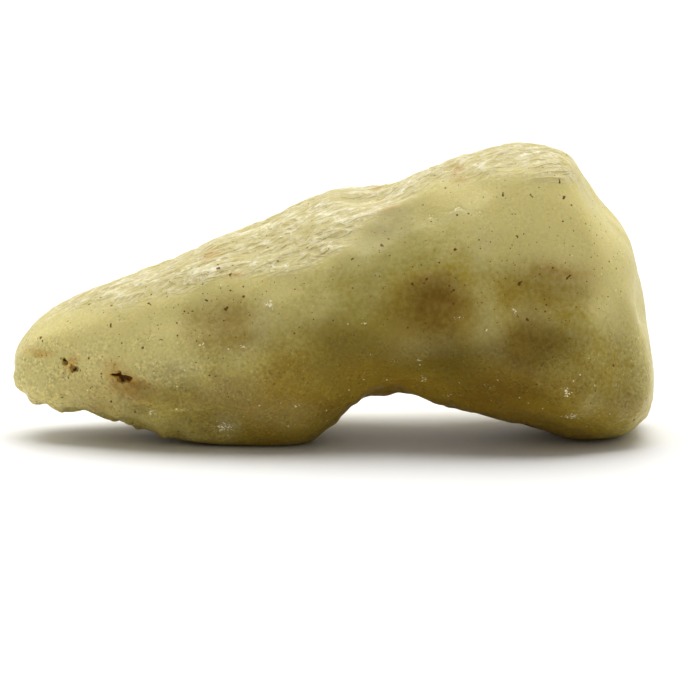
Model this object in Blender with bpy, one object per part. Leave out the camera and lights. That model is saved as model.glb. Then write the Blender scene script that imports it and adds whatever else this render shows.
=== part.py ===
"""A worn lump of natural desert glass, 70 mm long, that stands on two feet with a low arch between them.

The stone is one solid. It starts as a sphere of rings whose poles are the tip of the snout on the left and
the end wall on the right. Each ring becomes one upright slice, read from a short list of stations. Hollows,
pits, ribs and wind flutes are then pressed into the skin along its normals, and the feet are cut flat.

Metres, +Z up. X runs along the stone from the snout to the thick end, and Y from its front to its back.
The origin is under the middle of the stone, on the surface that it stands on.
"""

import math
from collections import namedtuple

import bmesh
import bpy
from mathutils import Vector, noise

MM = 0.001
NAME = "desert_glass"

# The skin: slices along the stone, and points around each slice.
SLICES = 66
POINTS_AROUND = 74

# Slices of the stone, from the snout to the thick end, in millimetres: the crest and the base of each, the
# middle of its top and of its underside in y, and how far it reaches to the front and to the back.
Station = namedtuple("Station", "crest_x crest_z base_x base_z crest_y base_y front back")
STATIONS = (
    Station(-35.0, 7.4, -35.0, 7.4, -0.4, -0.4, -0.4, -0.4),
    Station(-34.7, 9.4, -34.6, 5.6, -0.2, -0.6, -3.4, 3.0),
    Station(-33.4, 11.4, -33.2, 4.4, 0.4, -0.8, -5.8, 5.6),
    Station(-30.8, 13.2, -30.6, 3.2, 1.2, -0.8, -7.8, 8.2),
    Station(-27.2, 15.1, -27.0, 3.2, 2.2, -0.9, -9.4, 10.6),
    Station(-22.8, 17.5, -22.6, 1.4, 3.2, -1.2, -10.8, 12.6),
    Station(-18.0, 19.6, -18.2, 0.2, 4.2, -1.6, -12.2, 14.2),
    Station(-13.0, 21.4, -13.8, -0.4, 5.2, -2.0, -13.4, 15.0),
    Station(-8.0, 22.8, -8.6, -0.5, 5.8, -2.2, -14.0, 15.4),
    Station(-3.4, 24.6, -3.4, -0.3, 6.4, -1.8, -13.8, 15.6),
    Station(0.6, 26.1, 0.6, 2.4, 6.4, -1.0, -13.0, 15.4),
    Station(4.6, 26.4, 3.2, 4.5, 6.0, -0.5, -12.6, 15.4),
    Station(8.4, 27.6, 7.4, 5.4, 5.4, 0.0, -13.0, 16.0),
    Station(12.4, 29.8, 11.2, 4.4, 4.4, 0.4, -14.0, 17.0),
    Station(16.6, 31.4, 15.4, 3.2, 3.4, 1.2, -15.0, 17.8),
    Station(20.8, 31.8, 20.6, 1.5, 3.0, 2.2, -15.4, 17.8),
    Station(24.6, 30.8, 26.0, -0.3, 3.0, 4.0, -15.2, 16.8),
    Station(26.9, 28.3, 30.4, -0.2, 3.0, 4.0, -14.0, 15.2),
    Station(29.1, 25.7, 33.2, 1.0, 2.5, 3.0, -11.8, 12.8),
    Station(32.1, 22.2, 34.6, 2.8, 2.0, 1.5, -8.8, 9.8),
    Station(33.3, 17.5, 34.8, 6.8, 1.2, 0.8, -5.0, 5.6),
    Station(33.9, 12.5, 33.9, 12.5, 0.5, 0.5, 0.5, 0.5),
)

# Where a slice is widest, as a share of its height, and how square its quarters are (2 is an ellipse).
WAIST = 0.42
SQUARE_TOP = 2.2
SQUARE_UNDER = 2.3

# Broad flats worn across the smooth form: a point that each goes through, in millimetres, and the way it faces.
Flat = namedtuple("Flat", "point facing")
FLATS = (
    Flat((5.0, 11.4, 21.4), (0.05, 0.80, 0.60)),
    Flat((-17.0, 12.4, 8.0), (-0.35, 0.90, -0.25)),
    Flat((-24.0, 8.6, 12.4), (-0.42, 0.58, 0.70)),
    Flat((26.0, 14.0, 13.0), (0.45, 0.88, 0.10)),
    Flat((29.4, 7.8, 22.8), (0.70, 0.45, 0.55)),
    Flat((31.0, -9.6, 9.0), (0.72, -0.68, 0.10)),
    Flat((-30.6, -6.0, 9.0), (-0.55, -0.82, 0.15)),
    Flat((-8.0, -11.8, 5.0), (-0.10, -0.86, -0.50)),
    Flat((22.0, -12.8, 17.0), (0.12, -0.93, 0.34)),
)
FLAT_PRESS = 0.8
FLAT_EDGE = 0.5

# The sides of the stone that carry relief: the way each faces, and its directions across and up.
SIDES = {
    "front": (Vector((0, -1, 0)), Vector((1, 0, 0)), Vector((0, 0, 1))),
    "back": (Vector((0, 1, 0)), Vector((1, 0, 0)), Vector((0, 0, 1))),
    "end": (Vector((1, 0, 0)), Vector((0, 1, 0)), Vector((0, 0, 1))),
    "top": (Vector((0, 0, 1)), Vector((1, 0, 0)), Vector((0, 1, 0))),
}

# Hollows, in millimetres: the middle across and up their side, the half width and half height, how far the
# long way is turned up in degrees, and the depth. A lump has a negative depth.
Hollow = namedtuple("Hollow", "across up half_width half_height turn depth")
HOLLOWS = {
    "front": (
        Hollow(-12.6, 15.2, 6.0, 3.4, 10, 1.1),
        Hollow(10.4, 17.8, 3.6, 3.2, 0, 1.4),
        Hollow(23.0, 18.0, 6.6, 3.8, -4, 1.1),
        Hollow(21.4, 12.6, 4.8, 3.2, -20, 0.7),
        Hollow(13.6, 7.8, 6.8, 3.8, -12, 0.8),
        Hollow(0.4, 10.6, 5.6, 4.6, 30, 0.7),
        Hollow(29.0, 8.6, 4.0, 5.0, 0, 0.5),
        Hollow(-23.1, 7.7, 2.0, 1.3, -12, 1.2),
        Hollow(-29.0, 8.5, 1.5, 1.2, -30, 0.9),
        Hollow(22.0, 24.6, 6.5, 4.0, 0, -0.7),
        Hollow(-18.2, 8.4, 5.5, 4.0, 20, -0.6),
        Hollow(5.0, 20.6, 4.0, 3.0, 30, -0.6),
    ),
    "back": (
        Hollow(-20.5, 10.4, 5.2, 3.4, 15, 1.1),
        Hollow(-6.5, 14.0, 5.0, 4.2, 0, 1.3),
        Hollow(4.8, 18.6, 4.4, 3.4, 20, 1.0),
        Hollow(16.0, 20.6, 6.4, 4.6, -15, 1.5),
        Hollow(25.4, 13.0, 4.8, 5.4, 0, 1.0),
        Hollow(12.4, 9.4, 5.6, 3.4, -10, 0.9),
        Hollow(-13.0, 6.2, 4.6, 2.8, 0, -0.7),
        Hollow(-28.6, 8.4, 1.8, 1.4, 0, 0.8),
        Hollow(19.8, 6.6, 1.9, 1.4, 25, 0.9),
    ),
    "end": (
        Hollow(-4.0, 15.0, 5.0, 4.0, 30, 0.9),
        Hollow(6.0, 9.0, 4.4, 3.2, -20, 0.8),
        Hollow(6.0, 19.0, 4.6, 2.6, 0, 0.7),
    ),
    "top": (
        Hollow(-19.0, 0.0, 5.0, 3.0, 25, 0.6),
        Hollow(-6.0, 4.0, 4.6, 3.4, -20, 0.6),
        Hollow(6.0, -1.0, 4.0, 5.0, 0, 0.6),
        Hollow(15.0, 8.0, 4.4, 3.0, 30, 0.6),
    ),
}

# Low ribs, in millimetres: the points across and up that each runs through, its half width and its height.
Rib = namedtuple("Rib", "points half_width height")
FRONT_EDGE_OF_TOP = (
    (-27.0, 14.9), (-22.0, 15.6), (-16.0, 17.4), (-10.0, 19.0), (-3.7, 19.8),
    (0.7, 21.9), (5.1, 25.1), (9.4, 27.4), (14.9, 29.2), (20.0, 29.5), (26.4, 29.0),
)
BACK_EDGE_OF_TOP = (
    (-30.0, 12.6), (-20.0, 15.6), (-8.0, 19.2), (6.0, 23.4), (18.0, 27.4), (26.0, 25.0),
)
RIBS = {
    "front": (
        Rib(FRONT_EDGE_OF_TOP, 2.6, 0.75),
        Rib(((-7.0, 17.6), (-7.3, 13.4), (-6.8, 9.6)), 1.8, 0.5),
        Rib(((16.0, 26.6), (15.2, 20.6), (15.6, 15.4), (17.0, 10.2)), 2.2, 0.5),
        Rib(((10.6, 14.2), (13.6, 14.9), (16.3, 14.6)), 1.5, 0.4),
        Rib(((12.2, 4.8), (13.8, 3.4), (17.6, 2.4)), 1.6, 0.5),
    ),
    "back": (
        Rib(BACK_EDGE_OF_TOP, 2.8, 0.7),
        Rib(((-14.0, 13.6), (-12.6, 9.0), (-14.0, 4.6)), 2.0, 0.5),
        Rib(((10.8, 22.0), (9.8, 14.6), (6.0, 9.0)), 2.2, 0.6),
        Rib(((21.4, 17.0), (19.4, 11.4)), 2.0, 0.5),
    ),
    "end": (
        Rib(((-9.4, 20.0), (-7.0, 12.0), (-8.0, 5.0)), 2.2, 0.5),
    ),
    "top": (),
}

# Uneven wear, in millimetres: the length of a wave, and how far it moves the skin.
SWELL_LENGTH, SWELL_HEIGHT = 13.0, 0.75
DENT_LENGTH, DENT_HEIGHT = 5.5, 0.32
KNOB_LENGTH, KNOB_HEIGHT = 3.6, 0.65
# Wind flutes of the top, in millimetres: the length of a wave, how high its sharp crest stands, how steeply it
# falls away from there, and how many times as long as wide the flutes are.
FLUTE_LENGTH, FLUTE_CREST, FLUTE_FALL, FLUTE_STRETCH = 3.4, 0.315, 1.8, 1.4
# Rims and ribs wander by this much, in waves of this length.
WANDER, WANDER_LENGTH = 0.7, 4.0
# Each kind of wear reads a noise field of its own number. The fields lie this far apart, so that no two of
# them share a pattern.
SWELLS, DENTS, FLUTES, KNOBS, WANDER_ACROSS, WANDER_UP = 0, 1, 2, 3, 5, 6
FIELD_STEP = 40.0

# How squarely the skin has to face a side, the sky or the ground for the relief or the wear that belongs there
# to begin and to be whole: 0 is edge on, and 1 is square on.
SIDE_FADE = (-0.1, 0.35)
TOP_FADE = (0.35, 0.75)
UNDER_FADE = (-0.1, 0.4)
# The knobs of the underside fade out over this height, so that the feet are cut clean.
FOOT_FADE = (0.8, 2.4)
# A vertex this near the surface that the stone stands on is set on it, so that the cut leaves no sliver, and
# the cut takes a vertex this near its plane as lying in it.
CUT_SNAP = 0.12
CUT_PLANE_REACH = 0.0001

# The look of the solid: a cloudy yellow-green glass.
GLASS_COLOUR = (0.42, 0.38, 0.15, 1.0)
GLASS_ROUGHNESS = 0.42
SMOOTH_UNDER = math.radians(60)


def beyond_the_pole(station):
    """The slice as it would go on past a pole: the same slice, turned half way round."""
    return Station(
        station.base_x, station.base_z, station.crest_x, station.crest_z,
        station.base_y, station.crest_y, station.back, station.front,
    )


def station_at(share):
    """The slice at a share of the way from the snout to the thick end, on a smooth curve through the stations."""
    rows = (beyond_the_pole(STATIONS[1]), *STATIONS, beyond_the_pole(STATIONS[-2]))
    place = share * (len(STATIONS) - 1)
    first = min(int(place), len(STATIONS) - 2)
    t = place - first
    values = []
    for before, start, end, after in zip(*rows[first:first + 4]):
        bend = (2 * before - 5 * start + 4 * end - after) * t + (3 * (start - end) + after - before) * t * t
        values.append(start + 0.5 * t * (end - before + bend))
    return Station(*values)


def slice_point(station, angle):
    """A point of the slice, in millimetres, its angle counted from the crest towards the front."""
    height, depth = math.cos(angle), math.sin(angle)
    square = SQUARE_TOP if height > 0 else SQUARE_UNDER
    up = math.copysign(abs(height) ** (2 / square), height)
    out = abs(depth) ** (2 / square)
    level = WAIST + up * (1 - WAIST if up > 0 else WAIST)
    middle_y = station.crest_y if up > 0 else station.base_y
    reach_y = station.front if depth > 0 else station.back
    return Vector((
        station.base_x + level * (station.crest_x - station.base_x),
        middle_y + out * (reach_y - middle_y),
        station.base_z + level * (station.crest_z - station.base_z),
    ))


def smooth_step(low, high, value):
    """0 below low, 1 above high, and a soft rise between them."""
    t = max(0.0, min(1.0, (value - low) / (high - low)))
    return t * t * (3 - 2 * t)


def field(point, length, number, stretch=1.0):
    """Smooth noise from about -1 to 1, with waves of this length, drawn out along x."""
    place = Vector((point.x / stretch, point.y, point.z)) / length
    return noise.noise(place + Vector((0, 0, number * FIELD_STEP)), noise_basis="PERLIN_NEW")


def hollow_depth(hollow, place):
    """How far a hollow presses in at a place on its side: all of it in its middle, and nothing past its rim."""
    turn = math.radians(hollow.turn)
    across, up = place.x - hollow.across, place.y - hollow.up
    long_way = (across * math.cos(turn) + up * math.sin(turn)) / hollow.half_width
    short_way = (up * math.cos(turn) - across * math.sin(turn)) / hollow.half_height
    return hollow.depth * max(0.0, 1 - long_way ** 2 - short_way ** 2) ** 2


def rib_height(rib, place):
    """How far a rib stands out at a place on its side, by the nearest of its runs."""
    nearest = rib.half_width
    for start, end in zip(rib.points, rib.points[1:]):
        run, offset = Vector(end) - Vector(start), place - Vector(start)
        share = max(0.0, min(1.0, offset.dot(run) / run.length_squared))
        nearest = min(nearest, (offset - share * run).length)
    return rib.height * (1 - (nearest / rib.half_width) ** 2) ** 2


def relief(point, normal):
    """How far the hollows and ribs move the skin. Those of a side fade out where it no longer faces that way."""
    total = 0.0
    wander = WANDER * Vector((
        field(point, WANDER_LENGTH, WANDER_ACROSS),
        field(point, WANDER_LENGTH, WANDER_UP),
    ))
    for side, (facing, across, up) in SIDES.items():
        share = smooth_step(*SIDE_FADE, normal.dot(facing))
        if share == 0:
            continue
        place = Vector((point.dot(across), point.dot(up))) + wander
        total += share * sum(rib_height(rib, place) for rib in RIBS[side])
        total -= share * sum(hollow_depth(hollow, place) for hollow in HOLLOWS[side])
    return total


def wear(point, normal):
    """How far the uneven wear moves the skin: swells all over, flutes on top, knobs below."""
    swells = SWELL_HEIGHT * field(point, SWELL_LENGTH, SWELLS)
    dents = DENT_HEIGHT * field(point, DENT_LENGTH, DENTS)
    flutes = FLUTE_CREST - FLUTE_FALL * abs(field(point, FLUTE_LENGTH, FLUTES, FLUTE_STRETCH))
    knobs = KNOB_HEIGHT * field(point, KNOB_LENGTH, KNOBS)
    on_top = smooth_step(*TOP_FADE, normal.z)
    below = smooth_step(*UNDER_FADE, -normal.z) * smooth_step(*FOOT_FADE, point.z)
    return swells + dents + on_top * flutes + below * knobs


def smooth_form():
    """A sphere of rings, shaped into the stone's smooth form, in millimetres."""
    bm = bmesh.new()
    bmesh.ops.create_uvsphere(bm, u_segments=POINTS_AROUND, v_segments=SLICES, radius=1)
    for vert in bm.verts:
        share = math.acos(max(-1.0, min(1.0, vert.co.z))) / math.pi
        vert.co = slice_point(station_at(share), math.atan2(vert.co.y, vert.co.x))
    bmesh.ops.recalc_face_normals(bm, faces=bm.faces)
    return bm


def wear_flats(bm):
    """Presses the form down towards each flat where it stands out past it, with a soft edge all round."""
    for flat in FLATS:
        facing = Vector(flat.facing).normalized()
        for vert in bm.verts:
            outside = (vert.co - Vector(flat.point)).dot(facing)
            pressed = (outside + math.hypot(outside, FLAT_EDGE)) / 2
            vert.co -= FLAT_PRESS * pressed * facing * smooth_step(-2 * FLAT_EDGE, 0, outside)
    bm.normal_update()


def press_relief(bm):
    """Moves every vertex along its normal by the relief and the wear at its place."""
    moves = [vert.normal * (relief(vert.co, vert.normal) + wear(vert.co, vert.normal)) for vert in bm.verts]
    for vert, move in zip(bm.verts, moves):
        vert.co += move


def cut_feet(bm):
    """Cuts both feet flat at the height of the surface that they stand on."""
    for vert in bm.verts:
        if abs(vert.co.z) < CUT_SNAP:
            vert.co.z = 0
    everything = [*bm.verts, *bm.edges, *bm.faces]
    bmesh.ops.bisect_plane(
        bm, geom=everything, dist=CUT_PLANE_REACH, plane_co=(0, 0, 0), plane_no=(0, 0, -1), clear_outer=True)
    rims = [edge for edge in bm.edges if edge.is_boundary]
    bmesh.ops.holes_fill(bm, edges=rims, sides=0)


def stand_on_origin(bm):
    """Turns millimetres into metres, with the origin under the middle of the stone."""
    bmesh.ops.scale(bm, vec=(MM, MM, MM), verts=bm.verts)
    xs = [vert.co.x for vert in bm.verts]
    ys = [vert.co.y for vert in bm.verts]
    middle = Vector((min(xs) + max(xs), min(ys) + max(ys), 0)) / 2
    bmesh.ops.translate(bm, vec=-middle, verts=bm.verts)


def glass_material():
    """One plain colour for the cloudy glass, with a satin surface."""
    material = bpy.data.materials.new(NAME)
    material.use_nodes = True
    shader = material.node_tree.nodes["Principled BSDF"]
    shader.inputs["Base Color"].default_value = GLASS_COLOUR
    shader.inputs["Roughness"].default_value = GLASS_ROUGHNESS
    shader.inputs["Metallic"].default_value = 0.0
    return material


def main():
    """Builds the stone as the only object of the scene."""
    for obj in list(bpy.data.objects):
        bpy.data.objects.remove(obj)
    bm = smooth_form()
    wear_flats(bm)
    press_relief(bm)
    cut_feet(bm)
    stand_on_origin(bm)
    mesh = bpy.data.meshes.new(NAME)
    bm.to_mesh(mesh)
    bm.free()
    mesh.shade_smooth()
    mesh.set_sharp_from_angle(angle=SMOOTH_UNDER)
    mesh.materials.append(glass_material())
    stone = bpy.data.objects.new(NAME, mesh)
    bpy.context.scene.collection.objects.link(stone)


main()
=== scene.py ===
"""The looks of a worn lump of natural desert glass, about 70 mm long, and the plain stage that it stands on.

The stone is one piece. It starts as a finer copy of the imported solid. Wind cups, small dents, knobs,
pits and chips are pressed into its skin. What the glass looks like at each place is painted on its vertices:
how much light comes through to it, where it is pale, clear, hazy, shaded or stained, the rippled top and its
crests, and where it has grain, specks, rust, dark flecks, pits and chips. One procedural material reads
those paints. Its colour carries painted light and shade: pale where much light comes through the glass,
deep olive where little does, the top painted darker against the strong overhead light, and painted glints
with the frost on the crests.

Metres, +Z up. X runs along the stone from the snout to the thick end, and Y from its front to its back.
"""

import math
from collections import namedtuple

import bmesh
import bpy
from bpy.props import FloatProperty, FloatVectorProperty, IntProperty, PointerProperty
from bpy.types import Operator, Panel, PropertyGroup
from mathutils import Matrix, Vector, noise
from mathutils.bvhtree import BVHTree


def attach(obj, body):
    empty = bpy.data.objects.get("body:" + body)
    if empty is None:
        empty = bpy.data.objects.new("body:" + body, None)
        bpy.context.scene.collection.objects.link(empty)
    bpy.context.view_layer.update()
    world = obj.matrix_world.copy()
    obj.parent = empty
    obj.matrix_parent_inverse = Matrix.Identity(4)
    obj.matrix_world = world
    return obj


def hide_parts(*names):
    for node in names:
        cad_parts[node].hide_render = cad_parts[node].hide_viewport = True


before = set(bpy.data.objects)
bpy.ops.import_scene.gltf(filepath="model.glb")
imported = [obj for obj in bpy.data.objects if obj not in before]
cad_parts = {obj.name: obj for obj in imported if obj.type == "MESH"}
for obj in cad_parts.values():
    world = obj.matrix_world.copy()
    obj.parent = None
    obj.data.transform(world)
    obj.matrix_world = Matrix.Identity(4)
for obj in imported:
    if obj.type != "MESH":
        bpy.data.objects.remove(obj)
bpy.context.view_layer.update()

bl_info = {
    "name": "Desert glass",
    "version": (1, 0),
    "blender": (4, 5, 0),
    "location": "View3D > Sidebar > Stone",
    "description": "A worn lump of cloudy yellow-green natural glass on a plain stage",
    "category": "Object",
}

MM = 0.001
NODE = "desert_glass"
PIECE = "worn_glass_stone"

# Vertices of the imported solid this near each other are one, and triangles that meet flatter than this and
# make a face no more skewed than this are one face.
MERGE = 1e-6
PAIR_UNDER = math.radians(60)

# The form is softened in so many rounds above the feet, and in more on the snout, which ends here.
FOOT_HEIGHT = 1.0 * MM
ROUNDS_ABOVE_FEET = 2
SNOUT_END = -16 * MM
ROUNDS_ON_SNOUT = 6

# Light comes to each vertex from this many directions all round, and is followed from just under the skin.
# Light from behind comes from within this cosine of straight behind. The paint is evened out in so many
# rounds.
DIRECTIONS = 96
UNDER_SKIN = 0.02 * MM
FROM_BEHIND = 0.5
EVENING_ROUNDS = 3

# The floor lies this far under the feet, so that their faces don't share a plane with it.
FLOOR_DROP = 0.02 * MM

# The wind ripples of the top are this many times as long as wide, and their long way is turned this far from
# x. They wander sideways by this part of their width, in waves this many times as long.
RIPPLE_STRETCH = 5.0
RIPPLE_TURN = math.radians(24)
RIPPLE_WANDER = 0.5
RIPPLE_WAVES = 2.5

# How fast a trough falls from its crest, how wide the line of a crest is, and how much a small crest counts.
TROUGH_FALL = 2.5
CREST_WIDTH = 0.16
SMALL_CREST = 0.7

# The smaller knobs on the big ones are this part as long and this part as high.
SMALL_KNOB_LENGTH = 0.5
SMALL_KNOB_HEIGHT = 0.35

# Knobs cover the skin as it turns down over the first span, and the low skirt of the stone in part. Over the
# stretch of x behind the snout they lose this part of their height.
FACING_DOWN = (-0.1, 0.5)
SKIRT_HEIGHTS = (5 * MM, 2 * MM)
KNOBS_ON_SKIRT = 0.6
BEHIND_SNOUT = (-18 * MM, -12 * MM)
KNOBS_LOST_BEHIND_SNOUT = 0.6

# Pits and chips are pressed in where the skin faces front, and deepest where their zones are strong.
PRESSED_FRONT = (0.1, 0.5)
PIT_RISE = (0.1, 0.6)
CHIP_RISE = (0.0, 0.5)

# The skin keeps its place under the first height, so that the feet stay flat, and is free over the second.
FREE_HEIGHTS = (0.2 * MM, 1.4 * MM)

# The skin is divided once more inside the pits, flecks and chips and in a border this wide, in millimetres,
# where it faces front or back by more than this.
BORDER = 0.35
SIDEWAYS = 0.2

# The noise fields by number. They are read this far apart, so that no two of them share a pattern. The cups
# and the ripples take two each.
FIELD_STEP = 40.0
DENT_FIELD = 0
CUP_FIELD = 1
RIPPLE_FIELD = 3
KNOB_FIELD = 5
BLOTCH_FIELD = 6
CLOUD_FIELD = 7
SMALL_KNOB_FIELD = 8
BACK_SHADE_FIELD = 9
ALONG_FIELD = 11
UP_FIELD = 12
TOP_EDGE_FIELD = 13
TOP_END_FIELD = 14

# How far the noise moves the rims of soft tints and of ragged marks, and the length of its waves.
SOFT = (0.9 * MM, 4.0 * MM)
RAGGED = (0.45 * MM, 0.8 * MM)

# A crisp upper rim sets in over this span, in half heights, and is at full strength this far inside the zone.
CRISP_SPAN = (-0.4, 0.6)
CRISP_DEPTH = 0.3

# Tints fade in as the skin turns to the front or to the back. Rust fades out where it faces back.
FACING = (0.0, 0.4)
RUST_FADES = (0.9, 0.5)

# Grain is full at the first height and gone at the second.
GRAIN_HEIGHTS = (6 * MM, 17 * MM)

# Large blotches, clouds and the shade of the back: the length of their noise, and the noise they rise over.
BLOTCH_LENGTH = 9 * MM
BLOTCH_RISE = (0.25, 0.7)
CLOUD_LENGTH = 6 * MM
CLOUD_RISE = (0.1, 0.6)
BACK_SHADE_LENGTH = 11 * MM
BACK_SHADE_RISE = (-0.2, 0.5)

# How strong the tints are away from the front and on the back.
STAIN_OFF_FRONT = 0.3
HAZE_OFF_FRONT = 0.5
# The back, which faces the light, is painted darker in patches, as painted shade.
SHADE_ON_BACK = 0.6
CLEAR_ON_BACK = 0.4

# The share of places with a speck: everywhere, and what the back's clouds and the front's zones add to it.
SPECKS_EVERYWHERE = 0.2
SPECKS_ADDED = 0.5

# The top passes from front to back over the first span of facing back, and fades out as it faces up less.
TOP_TURNS_BACK = (-0.4, 0.4)
TOP_FACES_UP = (0.05, 0.4)

# The top's edge wanders and is soft by the first distance in front and by the second more at the back. Its
# end wanders too.
TOP_EDGE_WANDER = (0.8 * MM, 1.6 * MM)
TOP_EDGE_SOFTNESS = (1.0 * MM, 1.5 * MM)
TOP_EDGE_WAVES = 5 * MM
TOP_END_WANDER = 3.0 * MM

# The edges of the rippled top, in millimetres along and up: where it meets the front, and where the back.
FRONT_EDGE_OF_TOP = (
    (-34.9, 11.4), (-27.0, 14.9), (-22.0, 15.6), (-16.0, 17.4), (-10.0, 19.0), (-3.7, 19.8), (0.7, 21.9),
    (5.1, 25.1), (9.4, 27.4), (14.9, 29.2), (20.0, 29.5), (26.4, 29.0), (34.9, 27.0),
)
BACK_EDGE_OF_TOP = (
    (-34.9, 11.4), (-30.0, 12.6), (-20.0, 15.6), (-8.0, 19.2), (6.0, 23.4), (18.0, 27.4), (26.0, 25.0),
    (34.9, 25.0),
)
# The top ends over this stretch of x, in millimetres, before the end wall.
END_OF_TOP = (29.5, 22.5)

# Zones of the front, in millimetres: the middle along and up, the half width and half height, how far the
# long way is turned up in degrees, the strength, and how crisp the upper rim is.
Zone = namedtuple("Zone", "along up half_width half_height turn strength crisp", defaults=(0.0,))
# Brown stains, the first of them with a crisp rim at the top of the round hollow.
STAINS = (
    Zone(11.2, 16.8, 4.2, 3.2, 0, 0.4, 0.5),
    Zone(11.2, 16.0, 6.2, 4.6, 0, 0.95),
    Zone(22.8, 18.0, 8.4, 4.6, -4, 0.5),
    Zone(21.4, 12.2, 6.8, 4.4, 0, 0.65),
    Zone(-0.6, 13.4, 4.4, 3.0, 0, 0.25),
    Zone(20.0, 7.6, 9.0, 3.0, 0, 0.25),
    Zone(-11.6, 13.8, 6.8, 4.0, 0, 0.6),
    Zone(-21.8, 7.2, 3.0, 2.0, -20, 0.3),
    Zone(-25.0, 5.6, 7.0, 2.8, -10, 0.4),
    Zone(0.6, 4.4, 3.4, 2.6, 0, 0.4),
    Zone(31.4, 4.6, 4.6, 3.8, 0, 0.4),
)
# The darkest olive glass, partly painted shade where less light comes through: in the thick lower middle
# and under the edge of the top.
SHADES = (
    Zone(13.0, 10.6, 7.0, 4.2, 0, 0.9),
    Zone(17.6, 9.4, 4.4, 4.4, 0, 0.3),
    Zone(22.6, 11.2, 8.6, 4.6, -10, 0.6),
    Zone(27.4, 7.6, 3.6, 4.4, 0, 0.35),
    Zone(31.6, 6.4, 4.2, 7.0, 0, 0.45),
    Zone(2.0, 11.4, 6.0, 4.0, 0, 0.4),
    Zone(7.2, 10.4, 4.8, 3.0, 0, 0.4),
    Zone(20.6, 7.0, 9.0, 3.6, 0, 0.5),
    Zone(25.6, 13.2, 4.4, 3.0, 0, 0.35),
    Zone(30.6, 12.6, 3.2, 5.0, 0, 0.4),
    Zone(6.4, 24.8, 6.4, 2.4, 30, 0.45),
    Zone(-10.4, 4.6, 5.6, 3.4, 0, 0.2),
    Zone(-18.6, 7.2, 6.4, 3.6, 0, 0.45),
    Zone(-14.5, 3.4, 5.6, 2.8, 0, 0.4),
)
# Clearer, greener glass.
CLEARS = (
    Zone(6.4, 22.6, 10.0, 5.0, 24, 0.7),
    Zone(2.6, 13.0, 9.6, 7.6, 0, 0.5),
    Zone(12.0, 9.6, 8.4, 5.0, 0, 0.5),
    Zone(19.0, 21.6, 7.0, 4.0, 0, 0.15),
)
# Thin, pale glass, painted paler as painted light that comes through it: the pale paint adds to the glow
# and turns the glass milky.
PALES = (
    Zone(-28.0, 7.6, 12.0, 10.0, 0, 0.8),
    Zone(-18.0, 2.8, 12.0, 5.0, -8, 0.6),
    Zone(22.6, 24.4, 12.0, 8.0, 0, 0.95),
    Zone(29.8, 18.0, 4.6, 8.0, 10, 0.7),
    Zone(-18.0, 9.6, 8.0, 4.6, 0, 0.7),
    Zone(-0.6, 15.6, 6.6, 3.0, 0, 0.4),
    Zone(-9.2, 10.4, 3.8, 3.0, 0, 0.35),
    Zone(-18.6, 14.0, 3.6, 2.6, 0, 0.5),
    Zone(-29.6, 8.6, 7.0, 6.0, 0, 0.6),
    Zone(-6.0, 17.6, 2.8, 2.8, 0, 0.5),
)
# Cool haze on ribs and rims.
HAZES = (
    Zone(-7.2, 14.4, 2.0, 4.6, 0, 0.6),
    Zone(-6.0, 13.4, 6.4, 3.0, 0, 0.35),
    Zone(16.2, 20.4, 1.8, 8.4, 0, 0.35),
    Zone(16.6, 14.0, 3.0, 4.8, 0, 0.6),
    Zone(10.0, 11.8, 6.0, 2.0, 10, 0.25),
    Zone(-17.4, 8.6, 5.0, 3.0, 20, 0.35),
    Zone(27.8, 5.2, 3.0, 2.0, 0, 0.4),
    Zone(3.6, 21.4, 5.6, 2.6, 30, 0.35),
    Zone(-26.6, 4.6, 2.6, 2.4, 0, 0.45),
    Zone(-21.6, 4.4, 3.0, 2.0, -20, 0.4),
    Zone(-11.4, 2.7, 2.4, 2.4, 0, 0.5),
    Zone(-12.0, 7.6, 7.6, 5.0, 0, 0.4),
    Zone(4.4, 17.4, 3.2, 2.8, 0, 0.4),
    Zone(7.6, 12.2, 4.6, 4.0, 0, 0.15),
    Zone(21.4, 14.8, 4.8, 2.2, -10, 0.5),
    Zone(-6.0, 4.0, 7.0, 3.0, 0, 0.3),
    Zone(13.4, 25.6, 4.0, 0.8, 14, 0.5),
)
# Where small dark specks crowd.
SPECK_ZONES = (
    Zone(22.0, 21.0, 14.0, 10.0, 0, 1.0),
    Zone(-14.0, 15.4, 13.0, 5.0, 10, 0.9),
    Zone(12.8, 17.4, 2.2, 1.8, -30, 1.0),
    Zone(-27.0, 8.0, 7.6, 5.0, 0, 0.7),
)
# Dark pits in the snout.
PITS = (
    Zone(-22.4, 7.9, 1.2, 0.75, -14, 1.0),
    Zone(-23.4, 8.3, 0.9, 0.3, -10, 0.8),
    Zone(-28.9, 9.2, 0.75, 0.5, -20, 1.0),
    Zone(-27.9, 8.4, 0.45, 0.55, 20, 0.6),
)
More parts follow.
